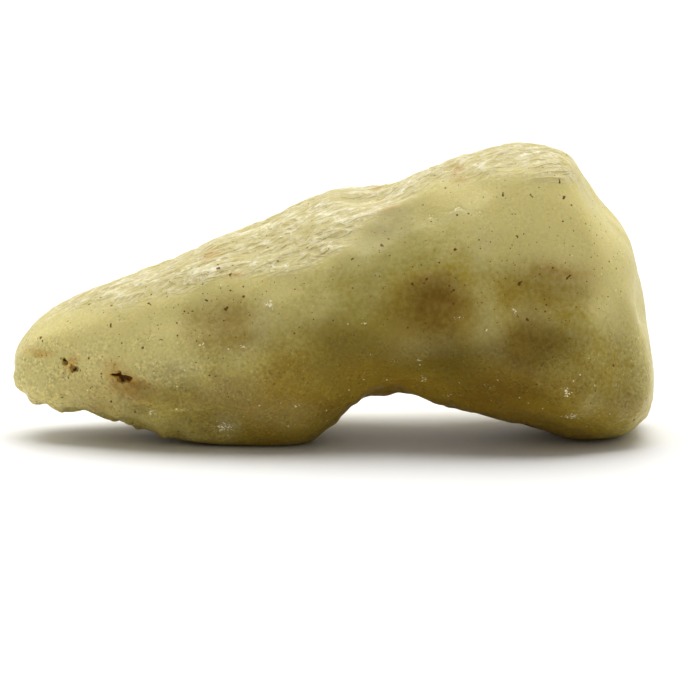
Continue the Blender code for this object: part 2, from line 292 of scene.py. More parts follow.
# Dark flecks that lie flush in the front, in millimetres: along, up and half width. They are a little flatter
# than round.
FLECKS = (
    (-31.7, 11.1, 0.3), (-30.4, 14.3, 0.24), (-25.0, 7.8, 0.27), (-24.1, 5.2, 0.3), (-24.0, 13.2, 0.24),
    (-21.2, 4.0, 0.3), (-19.8, 15.7, 0.3), (-18.6, 12.1, 0.24), (-16.7, 13.8, 0.24), (-13.4, 16.4, 0.3),
    (-12.3, 19.4, 0.24), (-11.5, 15.6, 0.24), (-11.0, 18.8, 0.27), (2.0, 20.6, 0.27), (5.2, 22.2, 0.27),
    (6.0, 22.8, 0.3), (8.0, 13.9, 0.3), (8.4, 18.2, 0.25), (9.8, 18.9, 0.25), (10.5, 24.7, 0.3),
    (11.2, 20.5, 0.3), (12.0, 18.4, 0.3), (12.7, 17.7, 0.27), (12.9, 16.4, 0.24), (12.9, 22.1, 0.3),
    (14.5, 25.6, 0.3), (18.0, 27.5, 0.34), (19.2, 22.6, 0.24), (19.6, 23.2, 0.3), (20.0, 18.5, 0.27),
    (20.8, 14.6, 0.27), (21.2, 27.4, 0.3), (23.2, 17.2, 0.27), (24.2, 29.0, 0.3), (24.5, 27.3, 0.3),
    (25.2, 12.9, 0.24), (25.2, 19.0, 0.27),
)
FLECK_FLATNESS = 0.8
DARK_MARKS = PITS + tuple(
    Zone(along, up, size, FLECK_FLATNESS * size, 0, 1.0) for along, up, size in FLECKS
)
# Orange-brown film beside the pits and along the top.
RUSTS = (
    Zone(-21.7, 6.8, 3.8, 2.3, -20, 1.0),
    Zone(-23.2, 8.6, 2.6, 1.4, 0, 0.7),
    Zone(-28.2, 8.7, 1.5, 1.4, 0, 0.8),
    Zone(-31.6, 9.9, 2.8, 0.8, 4, 0.7),
    Zone(-25.4, 4.4, 2.6, 1.0, -14, 0.6),
    Zone(-12.9, 20.4, 2.2, 0.5, 14, 0.7),
    Zone(-11.1, 19.2, 1.8, 0.4, 14, 0.7),
    Zone(5.1, 26.2, 2.0, 0.4, 20, 0.6),
    Zone(6.0, 25.2, 2.2, 0.4, 24, 0.6),
    Zone(13.6, 29.2, 1.8, 0.4, 0, 0.6),
    Zone(24.5, 19.4, 5.0, 0.9, -6, 0.5),
    Zone(10.6, 19.3, 3.0, 0.5, 0, 0.4),
)
# White chips of crushed glass.
CHIPS = (
    Zone(-11.8, 2.4, 1.5, 1.6, 0, 1.0),
    Zone(25.4, 3.9, 1.5, 0.8, 20, 1.0),
    Zone(24.9, 6.9, 0.9, 1.0, 0, 1.0),
    Zone(9.6, 7.7, 1.2, 0.5, 20, 0.9),
    Zone(9.2, 10.1, 0.3, 1.1, 0, 0.9),
    Zone(12.2, 5.7, 0.8, 0.4, 0, 0.9),
    Zone(16.4, 13.8, 0.5, 0.5, 0, 1.0),
    Zone(16.2, 15.4, 0.3, 0.7, 0, 0.8),
    Zone(19.1, 15.6, 1.0, 0.35, -35, 1.0),
    Zone(13.6, 15.0, 1.6, 0.2, 14, 0.9),
    Zone(13.2, 25.9, 1.8, 0.25, 16, 0.9),
    Zone(15.6, 25.6, 0.9, 0.5, 0, 0.8),
    Zone(10.6, 25.1, 0.9, 0.2, 10, 0.8),
    Zone(-6.9, 16.1, 1.0, 0.9, -50, 1.0),
    Zone(-9.6, 11.7, 0.6, 0.7, 0, 1.0),
    Zone(-14.0, 11.9, 0.7, 0.6, 0, 0.9),
    Zone(-16.2, 7.2, 0.5, 0.5, 0, 0.9),
    Zone(-3.9, 5.2, 0.7, 0.5, 0, 0.9),
    Zone(-22.9, 14.0, 0.7, 0.5, 0, 0.9),
    Zone(-19.5, 4.3, 0.7, 1.0, 30, 0.9),
    Zone(3.2, 14.2, 0.5, 0.4, 0, 0.9),
    Zone(6.6, 9.8, 0.5, 0.4, 0, 0.9),
)
# Stains and chips of the back, which carry the same kinds of marks.
BACK_STAINS = (
    Zone(-6.5, 14.0, 5.6, 4.6, 0, 0.6),
    Zone(16.0, 20.6, 7.4, 5.2, -15, 0.7),
    Zone(25.4, 13.0, 5.4, 6.0, 0, 0.45),
    Zone(-20.5, 10.4, 6.0, 3.8, 15, 0.5),
)
BACK_CHIPS = (
    Zone(-13.0, 5.0, 1.4, 1.0, 0, 0.9),
    Zone(8.0, 7.4, 1.0, 0.8, 20, 0.8),
    Zone(22.0, 5.6, 0.9, 1.2, 0, 0.9),
    Zone(2.0, 20.0, 1.2, 0.4, 20, 0.6),
)

# How much the light from behind, and the pale paint, add to the glow that is painted into the glass,
# and how far the pale paint turns it milky.
GLOW_FROM_BEHIND = 0.5
GLOW_OF_PALE = 0.26
MILKY_OF_PALE = 0.35

# The glow at which the glass has each of its five colours.
DEEP_AT = 0.50
OLIVE_AT = 0.64
LIGHT_AT = 0.74
BRIGHT_AT = 0.82
PALE_AT = 0.92

# Clouds and wisps in the glass: how long they are, how fine their detail is, and what they add to the glow.
Clouds = namedtuple("Clouds", "length detail amount")
GLOW_CLOUDS = (Clouds(8 * MM, 2.0, 0.12), Clouds(2.2 * MM, 3.0, 0.16), Clouds(0.5 * MM, 2.0, 0.24))

# The lengths of the noises that break up the marks, and their detail.
FINE = 0.28 * MM
PATCHY = 1.4 * MM
FROST_AND_GLINT_LUMPS = 5 * MM
SUGAR_GRAIN = 0.2 * MM
MOTTLE = 0.3 * MM
DETAIL = 3.0

# How each mark follows a noise or a paint: between the first two values it goes from the third to the fourth.
Rise = namedtuple("Rise", "start end low high", defaults=(0.0, 1.0))
CLEAR_RISE = Rise(0.2, 0.7, 0.7, 1.0)
HAZE_RISE = Rise(0.3, 0.7, 0.5, 0.9)
STAIN_RISE = Rise(0.2, 0.7, 0.75, 1.0)
CREST_RISE = Rise(0.35, 0.65, 0.3, 0.9)
FINE_CREST_RISE = Rise(0.4, 0.65, 0.1, 0.6)
FROST_AND_GLINT_RISE = Rise(0.35, 0.6, 0.45, 1.0)
RUST_RISE = Rise(0.3, 0.6, 0.3, 1.0)
SUGAR_PATCH_RISE = Rise(0.45, 0.65)
SUGAR_GRAIN_RISE = Rise(0.58, 0.75, 0.0, 0.45)
SPARKLE_RISE = Rise(0.0, 1.0, 0.04, 0.3)
MOTTLE_GRAIN_RISE = Rise(0.0, 1.0, 0.3, 1.1)
MOTTLE_PATCH_RISE = Rise(0.35, 0.65, 0.5, 1.6)
FINE_RIPPLE_RISE = Rise(0.12, 0.0)

# Round specks: how far apart the places for them are, and the radius of the largest.
Specks = namedtuple("Specks", "spacing radius")
DARK_SPECKS = (Specks(1.2 * MM, 0.19 * MM), Specks(0.7 * MM, 0.13 * MM), Specks(0.45 * MM, 0.09 * MM))
SPARKLES = Specks(0.8 * MM, 0.12 * MM)
SPECK_STRENGTH = 0.9
SPARKLE_STRENGTH = 0.7

# The smallest speck and the soft rim of a speck, as parts of the largest radius.
SMALLEST_SPECK = 0.4
SPECK_RIM = 0.3

# Specks are made crooked by shifting each place this far, by noise of this length.
CROOKED_SHIFT = 0.12 * MM
CROOKED_LENGTH = 0.25 * MM

# Ragged edges: the length and detail of the noise, how much it counts, the span that the mark rises over, and
# its strength. Paint fades out under the faintest mark.
Ragged = namedtuple("Ragged", "length detail amount start end strength")
PIT_EDGE = Ragged(0.4 * MM, 4.0, 2.4, 0.3, 0.6, 0.95)
CHIP_EDGE = Ragged(0.22 * MM, 3.0, 5.0, 0.9, 1.2, 0.85)
FAINTEST_MARK = 0.15

# The finest ripples of the top: their width, detail and bend.
FINE_RIPPLE_LENGTH = 0.9 * MM
FINE_RIPPLE_DETAIL = 1.5
FINE_RIPPLE_BEND = 0.5

# Bumps too small to model: their length, detail and height in millimetres.
RIPPLE_BUMP = 0.09
BUMPS = (Clouds(0.7 * MM, 3.0, 0.05), Clouds(0.16 * MM, 2.0, 0.02))

# The skin goes from smoothest to roughest as noise of this length goes over this span.
ROUGH_LENGTH = 0.9 * MM
ROUGH_SPAN = (0.3, 0.7)

# How far light of each colour goes under the skin, as a part of the scatter depth.
SCATTER_COLOURS = (1.0, 0.8, 0.3)

# The floor's roughness and outline, the length of its clouds, and how much darker it is in them.
FLOOR_ROUGHNESS = 0.55
FLOOR_SIDES = 96
FLOOR_CLOUDS = 60 * MM
FLOOR_DARKER = 0.97

# The surround goes from its front to its back strength over this span of directions.
SURROUND_SPAN = (-0.6, 0.8)


def distance(name, description, default):
    """A length that can be changed."""
    return FloatProperty(
        name=name, description=description, default=default, unit="LENGTH", subtype="DISTANCE")


def angle(name, description, default):
    """An angle that can be changed."""
    return FloatProperty(
        name=name, description=description, default=default, unit="ROTATION", subtype="ANGLE")


def factor(name, description, default):
    """A share from 0 to 1 that can be changed."""
    return FloatProperty(name=name, description=description, default=default, subtype="FACTOR", min=0, max=1)


def tint(name, description, default):
    """A colour that can be changed."""
    return FloatVectorProperty(
        name=name, description=description, default=default, subtype="COLOR", min=0, max=1)


class SkinSizes(PropertyGroup):
    """Sizes of what wind and sand have worn into the skin."""

    levels: IntProperty(name="Subdivisions", description="How many times the skin is made finer", default=2)
    cup_length: distance("Cup length", "Width of a wind cup on the top", 1.3 * MM)
    cup_depth: distance("Cup depth", "Depth of a wind cup on the top", 0.2 * MM)
    ripple_length: distance("Ripple length", "Width of the ripples between the cups", 0.7 * MM)
    ripple_depth: distance("Ripple depth", "Depth of the ripples between the cups", 0.08 * MM)
    dent_length: distance("Dent length", "Width of the small dents all over", 2.4 * MM)
    dent_depth: distance("Dent depth", "Depth of the small dents all over", 0.09 * MM)
    knob_length: distance("Knob length", "Width of the knobs on the underside", 2.0 * MM)
    knob_height: distance("Knob height", "Height of the knobs on the underside", 0.7 * MM)
    pit_depth: distance("Pit depth", "Depth of the dark pits in the snout", 0.8 * MM)
    chip_depth: distance("Chip depth", "Depth of the white chips", 0.04 * MM)
    light_reach: distance(
        "Light reach", "How far light goes into the glass before most of it is lost", 9.0 * MM)


class GlassColours(PropertyGroup):
    """Colours of the glass and of its marks."""

    # The top's colour is painted shade: darker than the pale glass, against the strong overhead light on the
    # top.
    top_in_painted_shade: tint("Open top", "The glass of the top, between its frosted crests", (0.49, 0.415, 0.16))
    # From pale to deep, these colours are painted light and shade: pale where much light comes through the
    # glass, deep where little does.
    pale: tint("Pale glass", "The thin and upper parts", (0.63, 0.545, 0.215))
    milky: tint("Milky glass", "Where the glass is palest", (0.80, 0.70, 0.29))
    bright: tint("Bright glass", "Next to the pale glass", (0.50, 0.42, 0.135))
    light: tint("Light glass", "Between the bright and the olive glass", (0.42, 0.325, 0.055))
    olive: tint("Olive glass", "The middle of the stone", (0.32, 0.218, 0.02))
    deep: tint("Deep glass", "The thick lower parts", (0.30, 0.175, 0.01))
    clear: tint("Clear glass", "The olive-green middle, where the glass is clearer", (0.255, 0.215, 0.022))
    haze: tint("Haze", "Cool grey-green haze on ribs and rims", (0.52, 0.47, 0.23))
    stain: tint("Stain", "What the brown in the hollows lets through", (0.42, 0.27, 0.03))
    # The shade tint is partly painted shade.
    shade: tint("Shade", "What the darkest olive glass lets through", (0.50, 0.46, 0.32))
    # Frost on the crests, with painted glints where the light catches them.
    frost_and_glint: tint("Frost", "Pale frost on ribs and crests", (0.84, 0.80, 0.61))
    rust: tint(
        "Rust", "What the orange-brown film beside the pits and on the top lets through", (0.80, 0.50, 0.20))
    sugar: tint("Sugar", "Bright grains in the lower half", (0.60, 0.53, 0.24))
    speck: tint("Speck", "Dark brown specks and the inside of the pits", (0.13, 0.045, 0.0))
    chip: tint("Chip", "White crushed glass", (0.95, 0.87, 0.60))


class GlassFinish(PropertyGroup):
    """How the skin of the glass takes the light."""

    smoothest: factor("Smoothest", "Roughness where the skin is most worn smooth", 0.36)
    roughest: factor("Roughest", "Roughness where the skin is most frosted", 0.52)
    ior: FloatProperty(name="IOR", description="Index of refraction of the glass", default=1.46)
    shine: factor("Shine", "How much of the plain glass shine is left on the worn skin", 0.2)
    scatter: factor("Scatter", "Share of the light that is scattered under the skin", 0.75)
    scatter_depth: distance("Scatter depth", "How far light goes under the skin", 0.8 * MM)


class StageSizes(PropertyGroup):
    """The floor, the lights and the camera."""

    floor_radius: distance("Floor radius", "Radius of the round floor", 4.0)
    floor_colour: tint("Floor colour", "Colour of the plain floor", (0.86, 0.855, 0.84))
    overhead: FloatProperty(
        name="Overhead light", description="Strength of the broad overhead light", default=3.0)
    overhead_spread: angle("Overhead spread", "Angle that the overhead light fills", math.radians(60))
    overhead_tilt: angle(
        "Overhead tilt", "How far the overhead light stands behind the stone", math.radians(18))
    surround_front: FloatProperty(
        name="Surround in front", description="Strength of the light from the camera's side", default=0.3)
    surround_back: FloatProperty(
        name="Surround behind", description="Strength of the light from behind the stone", default=0.9)
    camera_distance: distance("Camera distance", "From the camera to what it aims at", 0.7)
    camera_height: angle("Camera angle", "How far the camera looks down", math.radians(9))
    aim: FloatVectorProperty(
        name="Aim", description="The point that the camera looks at",
        default=(1.8 * MM, 0.0, 9.1 * MM), unit="LENGTH", subtype="XYZ")
    lens: FloatProperty(name="Lens", description="Focal length in millimetres", default=330.0)


def smooth_step(low, high, value):
    """0 at low, 1 at high, and a soft rise between them."""
    t = max(0.0, min(1.0, (value - low) / (high - low)))
    return t * t * (3 - 2 * t)


def field(point, length, number):
    """Smooth noise from about -1 to 1, with waves of this length, from the noise field of this number."""
    return noise.noise(point / length + Vector((0, 0, number * FIELD_STEP)), noise_basis="PERLIN_NEW")


def ripples_at(point, length, number):
    """(depth, crest) of wind ripples that meet in sharp, wavy crests. The depth is 1 at the bottom of a
    trough and 0 on a crest, and the crest is 1 along its line."""
    along = point.x * math.cos(RIPPLE_TURN) + point.y * math.sin(RIPPLE_TURN)
    across = point.y * math.cos(RIPPLE_TURN) - point.x * math.sin(RIPPLE_TURN)
    wander = RIPPLE_WANDER * length * field(point, RIPPLE_WAVES * length, number + 1)
    trough = abs(field(Vector((along / RIPPLE_STRETCH, across + wander, point.z)), length, number))
    return min(1.0, TROUGH_FALL * trough), 1 - smooth_step(0.0, CREST_WIDTH, trough)


def in_zone(zone, along, up):
    """1 in the middle of a zone, falling to 0 at its rim. Under a crisp upper rim it is strong at once."""
    across, above = along / MM - zone.along, up / MM - zone.up
    if max(abs(across), abs(above)) > max(zone.half_width, zone.half_height):
        return 0.0
    turn = math.radians(zone.turn)
    long_way = (across * math.cos(turn) + above * math.sin(turn)) / zone.half_width
    short_way = (above * math.cos(turn) - across * math.sin(turn)) / zone.half_height
    inside = max(0.0, 1 - long_way ** 2 - short_way ** 2)
    crisp = zone.crisp * smooth_step(*CRISP_SPAN, short_way)
    return inside ** 2 + crisp * (smooth_step(0.0, CRISP_DEPTH, inside) - inside ** 2)


def zone_strength(zones, along, up):
    """How strong some zones are together at a place. It goes from 0 to 1."""
    left = 1.0
    for zone in zones:
        left *= 1 - zone.strength * in_zone(zone, along, up)
    return 1 - left


def grown(zones):
    """The zones with a border round each."""
    return tuple(
        zone._replace(half_width=zone.half_width + BORDER, half_height=zone.half_height + BORDER)
        for zone in zones
    )


def moved(point, wander, length):
    """Where a point lies along and up its side once noise has moved it about, so that no rim is regular."""
    return (
        point.x + wander * field(point, length, ALONG_FIELD),
        point.z + wander * field(point, length, UP_FIELD),
    )


def height_of(edge, along):
    """The height of an edge at a place along the stone."""
    for (x, z), (next_x, next_z) in zip(edge, edge[1:]):
        if along <= next_x * MM:
            break
    share = max(0.0, min(1.0, (along / MM - x) / (next_x - x)))
    return (z + share * (next_z - z)) * MM


def from_front_to_back(distances, behind):
    """A distance that is the first in front, and grows by the second towards the back."""
    in_front, more_behind = distances
    return in_front + more_behind * behind


def top_share(point, normal):
    """1 on the rippled top, 0 off it, and a soft change at its edges."""
    behind = smooth_step(*TOP_TURNS_BACK, normal.y)
    front_edge = height_of(FRONT_EDGE_OF_TOP, point.x)
    edge = front_edge + behind * (height_of(BACK_EDGE_OF_TOP, point.x) - front_edge)
    wander = from_front_to_back(TOP_EDGE_WANDER, behind) * field(point, TOP_EDGE_WAVES, TOP_EDGE_FIELD)
    softness = from_front_to_back(TOP_EDGE_SOFTNESS, behind)
    above = smooth_step(-softness, softness, point.z - edge + wander)
    wavy_end = point.x + TOP_END_WANDER * field(point, TOP_EDGE_WAVES, TOP_END_FIELD)
    before_end = smooth_step(*(MM * along for along in END_OF_TOP), wavy_end)
    return above * before_end * smooth_step(*TOP_FACES_UP, normal.z)


def paired_copy():
    """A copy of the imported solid, with its loose triangles merged and paired into four-sided faces. Its form
    is softened above the feet."""
    bm = bmesh.new()
    bm.from_mesh(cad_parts[NODE].data)
    bmesh.ops.remove_doubles(bm, verts=bm.verts, dist=MERGE)
    bmesh.ops.join_triangles(
        bm, faces=bm.faces, angle_face_threshold=PAIR_UNDER, angle_shape_threshold=PAIR_UNDER)
    raised = [vert for vert in bm.verts if vert.co.z > FOOT_HEIGHT]
    snout = [vert for vert in raised if vert.co.x < SNOUT_END]
    for verts, rounds in ((raised, ROUNDS_ABOVE_FEET), (snout, ROUNDS_ON_SNOUT)):
        for _ in range(rounds):
            bmesh.ops.smooth_vert(
                bm, verts=verts, factor=0.5, use_axis_x=True, use_axis_y=True, use_axis_z=True)
    bm.normal_update()
    return bm


def directions_around(count):
    """Directions spread evenly over a sphere."""
    golden = math.pi * (3 - math.sqrt(5))
    for number in range(count):
        up = 1 - 2 * (number + 0.5) / count
        flat = math.sqrt(1 - up * up)
        yield Vector((flat * math.cos(number * golden), flat * math.sin(number * golden), up))


def even_out(bm, paint):
    """Evens a paint out over neighbouring vertices."""
    for _ in range(EVENING_ROUNDS):
        soft = [
            (vert[paint] + sum(edge.other_vert(vert)[paint] for edge in vert.link_edges))
            / (1 + len(vert.link_edges))
            for vert in bm.verts
        ]
        for vert, value in zip(bm.verts, soft):
            vert[paint] = value


def paint_light(bm, name, directions, reach):
    """Paints how much of the light from some directions comes to each vertex, through air or glass."""
    paint = bm.verts.layers.float.new(name)
    tree = BVHTree.FromBMesh(bm)
    for vert in bm.verts:
        start = vert.co - UNDER_SKIN * vert.normal
        total = 0.0
        for direction in directions:
            if direction.dot(vert.normal) > 0:
                total += 1.0
                continue
            path = tree.ray_cast(start, direction)[3]
            total += math.exp(-(path or 0.0) / reach)
        vert[paint] = total / len(directions)
    even_out(bm, paint)


def made_finer(bm, levels):
    """The mesh as a new one, smoothly divided so many times. It takes the paint along."""
    mesh = bpy.data.meshes.new(PIECE)
    bm.to_mesh(mesh)
    bm.free()
    coarse = bpy.data.objects.new(PIECE, mesh)
    bpy.context.scene.collection.objects.link(coarse)
    finer = coarse.modifiers.new("finer", "SUBSURF")
    finer.levels = levels
    finer.render_levels = levels
    graph = bpy.context.evaluated_depsgraph_get()
    bm = bmesh.new()
    bm.from_object(coarse, graph)
    bpy.data.objects.remove(coarse)
    bpy.data.meshes.remove(mesh)
    return bm


def divide_marks(bm):
    """Divides the faces under the pits, flecks and chips once more, so that their rims are crisp."""
    front_marks, back_marks = grown(DARK_MARKS + CHIPS), grown(BACK_CHIPS)
    marked = set()
    for vert in bm.verts:
        zones = front_marks if vert.normal.y < 0 else back_marks
        along, up = vert.co.x, vert.co.z
        if abs(vert.normal.y) > SIDEWAYS and any(in_zone(zone, along, up) > 0 for zone in zones):
            marked.update(vert.link_edges)
    bmesh.ops.subdivide_edges(bm, edges=list(marked), cuts=2, use_grid_fill=True)
    bm.normal_update()


def wind_worn(point, sizes):
    """(depth, crest) of the wind cups and of the smaller ripples between them."""
    cup, crest = ripples_at(point, sizes.cup_length, CUP_FIELD)
    ripple, small_crest = ripples_at(point, sizes.ripple_length, RIPPLE_FIELD)
    depth = sizes.cup_depth * (cup - 0.5) + sizes.ripple_depth * (ripple - 0.5)
    return depth, max(crest, SMALL_CREST * small_crest)


def knobs_at(point, normal, sizes):
    """How high the knobs of the underside and of the low skirt stand."""
    small = SMALL_KNOB_HEIGHT * field(point, SMALL_KNOB_LENGTH * sizes.knob_length, SMALL_KNOB_FIELD)
    knob = field(point, sizes.knob_length, KNOB_FIELD) + small
    on_skirt = KNOBS_ON_SKIRT * smooth_step(*SKIRT_HEIGHTS, point.z)
    below = max(smooth_step(*FACING_DOWN, -normal.z), on_skirt)
    below *= 1 - KNOBS_LOST_BEHIND_SNOUT * smooth_step(*BEHIND_SNOUT, point.x)
    return below * sizes.knob_height * knob


def marks_at(point, normal, sizes):
    """How deep the pits and chips of the front go."""
    front = smooth_step(*PRESSED_FRONT, -normal.y)
    if front == 0:
        return 0.0
    place = moved(point, *RAGGED)
    pit = sizes.pit_depth * smooth_step(*PIT_RISE, zone_strength(PITS, *place))
    chip = sizes.chip_depth * smooth_step(*CHIP_RISE, zone_strength(CHIPS, *place))
    return front * (pit + chip)


def press_skin(bm, sizes):
    """Moves every vertex along its normal by the dents, cups, ripples, knobs, pits and chips at its place,
    and paints the top and its crests."""
    crest_paint = bm.verts.layers.float.new("crest")
    top_paint = bm.verts.layers.float.new("top")
    moves = []
    for vert in bm.verts:
        point, normal = vert.co, vert.normal
        on_top = top_share(point, normal)
        move = sizes.dent_depth * field(point, sizes.dent_length, DENT_FIELD)
        if on_top > 0:
            depth, crest = wind_worn(point, sizes)
            move -= on_top * depth
            vert[crest_paint] = on_top * crest
            vert[top_paint] = on_top
        move += knobs_at(point, normal, sizes) - marks_at(point, normal, sizes)
        moves.append(move * smooth_step(*FREE_HEIGHTS, point.z) * normal)
    for vert, move in zip(bm.verts, moves):
        vert.co += move
        vert.co.z = max(0.0, vert.co.z)
    bm.normal_update()


def front_paints(front, soft, ragged):
    """What the zones of the front add to each paint, by name."""
    return {
        "stain": front * zone_strength(STAINS, *soft),
        "shade": front * zone_strength(SHADES, *soft),
        "haze": front * zone_strength(HAZES, *soft),
        "clear": front * zone_strength(CLEARS, *soft),
        "pale": front * zone_strength(PALES, *soft),
        "speckled": SPECKS_ADDED * front * zone_strength(SPECK_ZONES, *soft),
        "pit": front * zone_strength(DARK_MARKS, *ragged),
        "chip": front * zone_strength(CHIPS, *ragged),
    }


def back_paints(back, blotch, soft, ragged):
    """What the zones and blotches of the back add to each paint, by name."""
    return {
        "stain": back * zone_strength(BACK_STAINS, *soft),
        "clear": CLEAR_ON_BACK * back * (1 - blotch),
        "chip": back * zone_strength(BACK_CHIPS, *ragged),
    }


def paints_at(point, normal):
    """The strength of each paint at a vertex, by name."""
    front = smooth_step(*FACING, -normal.y)
    back = smooth_step(*FACING, normal.y)
    blotch = smooth_step(*BLOTCH_RISE, field(point, BLOTCH_LENGTH, BLOTCH_FIELD))
    cloud = smooth_step(*CLOUD_RISE, field(point, CLOUD_LENGTH, CLOUD_FIELD))
    back_shade = smooth_step(*BACK_SHADE_RISE, field(point, BACK_SHADE_LENGTH, BACK_SHADE_FIELD))
    soft, ragged = moved(point, *SOFT), moved(point, *RAGGED)
    paints = {
        "grain": 1 - smooth_step(*GRAIN_HEIGHTS, point.z),
        "stain": STAIN_OFF_FRONT * blotch * (1 - front),
        "shade": SHADE_ON_BACK * back * back_shade,
        "haze": HAZE_OFF_FRONT * cloud * (1 - front),
        "speckled": SPECKS_EVERYWHERE + SPECKS_ADDED * back * cloud,
        "rust": smooth_step(*RUST_FADES, normal.y) * zone_strength(RUSTS, *soft),
    }
    added = {}
    if front > 0:
        added = front_paints(front, soft, ragged)
    elif back > 0:
        added = back_paints(back, blotch, soft, ragged)
    for name, value in added.items():
        paints[name] = paints.get(name, 0.0) + value
    return paints


def paint_marks(bm):
    """Paints the tints of the glass, and where it has grain, specks, rust, flecks, pits and chips."""
    names = ("stain", "shade", "clear", "pale", "haze", "grain", "speckled", "rust", "pit", "chip")
    layers = {name: bm.verts.layers.float.new(name) for name in names}
    for vert in bm.verts:
        for name, value in paints_at(vert.co, vert.normal).items():
            vert[layers[name]] = value


def add(tree, kind, inputs=None, **settings):
    """Adds a node, with its settings, and links or sets its inputs."""
    made = tree.nodes.new("ShaderNode" + kind)
    for name, value in settings.items():
        setattr(made, name, value)
    for name, value in (inputs or {}).items():
        if isinstance(value, bpy.types.NodeSocket):
            tree.links.new(value, made.inputs[name])
        else:
            made.inputs[name].default_value = value
    return made


def painted(tree, name):
    """A paint of the vertices, as a number."""
    return add(tree, "Attribute", attribute_name=name).outputs["Fac"]


def lumps(tree, place, length, detail=2.0):
    """Noise from 0 to 1, with lumps of this length."""
    return add(tree, "TexNoise", {"Vector": place, "Scale": 1 / length, "Detail": detail}).outputs["Fac"]


def rise(tree, value, start, end, low=0.0, high=1.0):
    """A soft rise from low to high, as a value goes from start to end."""
    inputs = {"Value": value, "From Min": start, "From Max": end, "To Min": low, "To Max": high}
    return add(tree, "MapRange", inputs, interpolation_type="SMOOTHSTEP").outputs["Result"]


def calc(tree, operation, *values, clamp=False):
    """Numbers put together by a Math node."""
    return add(tree, "Math", dict(enumerate(values)), operation=operation, use_clamp=clamp).outputs[0]


def swing(tree, place, length, detail):
    """Noise that swings evenly about 0."""
    return calc(tree, "SUBTRACT", lumps(tree, place, length, detail), 0.5)


def broken(tree, paint, noise_value, shape):
    """A paint that is broken up by a noise."""
    return calc(tree, "MULTIPLY", painted(tree, paint), rise(tree, noise_value, *shape))


def opaque(colour):
    """A colour with its fourth value."""
    return (*colour, 1.0)


def mixed(tree, share, first, second):
    """A colour that goes from the first to the second as the share goes from 0 to 1."""
    return add(tree, "Mix", {0: share, 6: first, 7: opaque(second)}, data_type="RGBA").outputs[2]


def filtered(tree, share, colour, filter_colour):
    """A colour seen through a filter, as far as the share says."""
    inputs = {0: share, 6: colour, 7: opaque(filter_colour)}
    return add(tree, "Mix", inputs, data_type="RGBA", blend_type="MULTIPLY").outputs[2]


def glass_colour_in_painted_light(tree, place, colours):
    """The glass colour as painted light and shade: pale where much light comes through to it, deep olive
    where little does, with clouds and wisps in it.
    """
    glow = calc(tree, "MULTIPLY_ADD", painted(tree, "behind"), GLOW_FROM_BEHIND, painted(tree, "glow"))
    # The pale paint adds painted light to the glow.
    glow = calc(tree, "MULTIPLY_ADD", painted(tree, "pale"), GLOW_OF_PALE, glow)
    for length, detail, amount in GLOW_CLOUDS:
        glow = calc(tree, "MULTIPLY_ADD", swing(tree, place, length, detail), amount, glow)
    ramp = add(tree, "ValToRGB", {"Fac": glow})
    stops = ramp.color_ramp.elements
    stops[0].position, stops[0].color = DEEP_AT, opaque(colours.deep)
    stops[1].position, stops[1].color = PALE_AT, opaque(colours.pale)
    stops.new(OLIVE_AT).color = opaque(colours.olive)
    stops.new(LIGHT_AT).color = opaque(colours.light)
    stops.new(BRIGHT_AT).color = opaque(colours.bright)
    milky = calc(tree, "MULTIPLY", painted(tree, "pale"), MILKY_OF_PALE)
    return mixed(tree, milky, ramp.outputs["Color"], colours.milky)


def tinted(tree, place, patchy, colour, colours):
    """The colour with its clear, hazy, shaded and stained places."""
    fine = lumps(tree, place, FINE, DETAIL)
    colour = mixed(tree, broken(tree, "clear", patchy, CLEAR_RISE), colour, colours.clear)
    colour = mixed(tree, broken(tree, "haze", fine, HAZE_RISE), colour, colours.haze)
    # The shade tint is partly painted shade, where less light comes through the glass.
    colour = filtered(tree, painted(tree, "shade"), colour, colours.shade)
    return filtered(tree, broken(tree, "stain", patchy, STAIN_RISE), colour, colours.stain)


def frosted_and_glinting_top(tree, place, patchy, ripples, colour, colours):
    """The colour with the top painted darker, as painted shade against the strong overhead light, and with
    frost and painted glints on its crests.
    """
    # The top is painted darker as painted shade, since the overhead light falls strongly on it.
    colour = mixed(tree, painted(tree, "top"), colour, colours.top_in_painted_shade)
    # The crests are painted pale: frost, and painted glints where the light catches them.
    crest = broken(tree, "crest", patchy, CREST_RISE)
    fine_crest = calc(tree, "MULTIPLY", broken(tree, "top", patchy, FINE_CREST_RISE), ripples)
    crest = calc(tree, "MAXIMUM", crest, fine_crest)
    crest = calc(tree, "MULTIPLY", crest, rise(tree, lumps(tree, place, FROST_AND_GLINT_LUMPS), *FROST_AND_GLINT_RISE))
    return mixed(tree, crest, colour, colours.frost_and_glint)


def sugared(tree, place, patchy, colour, colours):
    """The colour with rust film and with sugary grain in the lower half."""
    colour = filtered(tree, broken(tree, "rust", patchy, RUST_RISE), colour, colours.rust)
    grains = rise(tree, lumps(tree, place, SUGAR_GRAIN), *SUGAR_GRAIN_RISE)
    sugar = calc(tree, "MULTIPLY", broken(tree, "grain", patchy, SUGAR_PATCH_RISE), grains)
    return mixed(tree, sugar, colour, colours.sugar)


def crooked(tree, place):
    """The place shifted a little by fine noise, so that round marks come out crooked."""
    shift = add(tree, "TexNoise", {"Vector": place, "Scale": 1 / CROOKED_LENGTH}).outputs["Color"]
    shift = add(tree, "VectorMath", {0: shift, "Scale": CROOKED_SHIFT}, operation="SCALE").outputs[0]
    return add(tree, "VectorMath", {0: place, 1: shift}, operation="ADD").outputs[0]


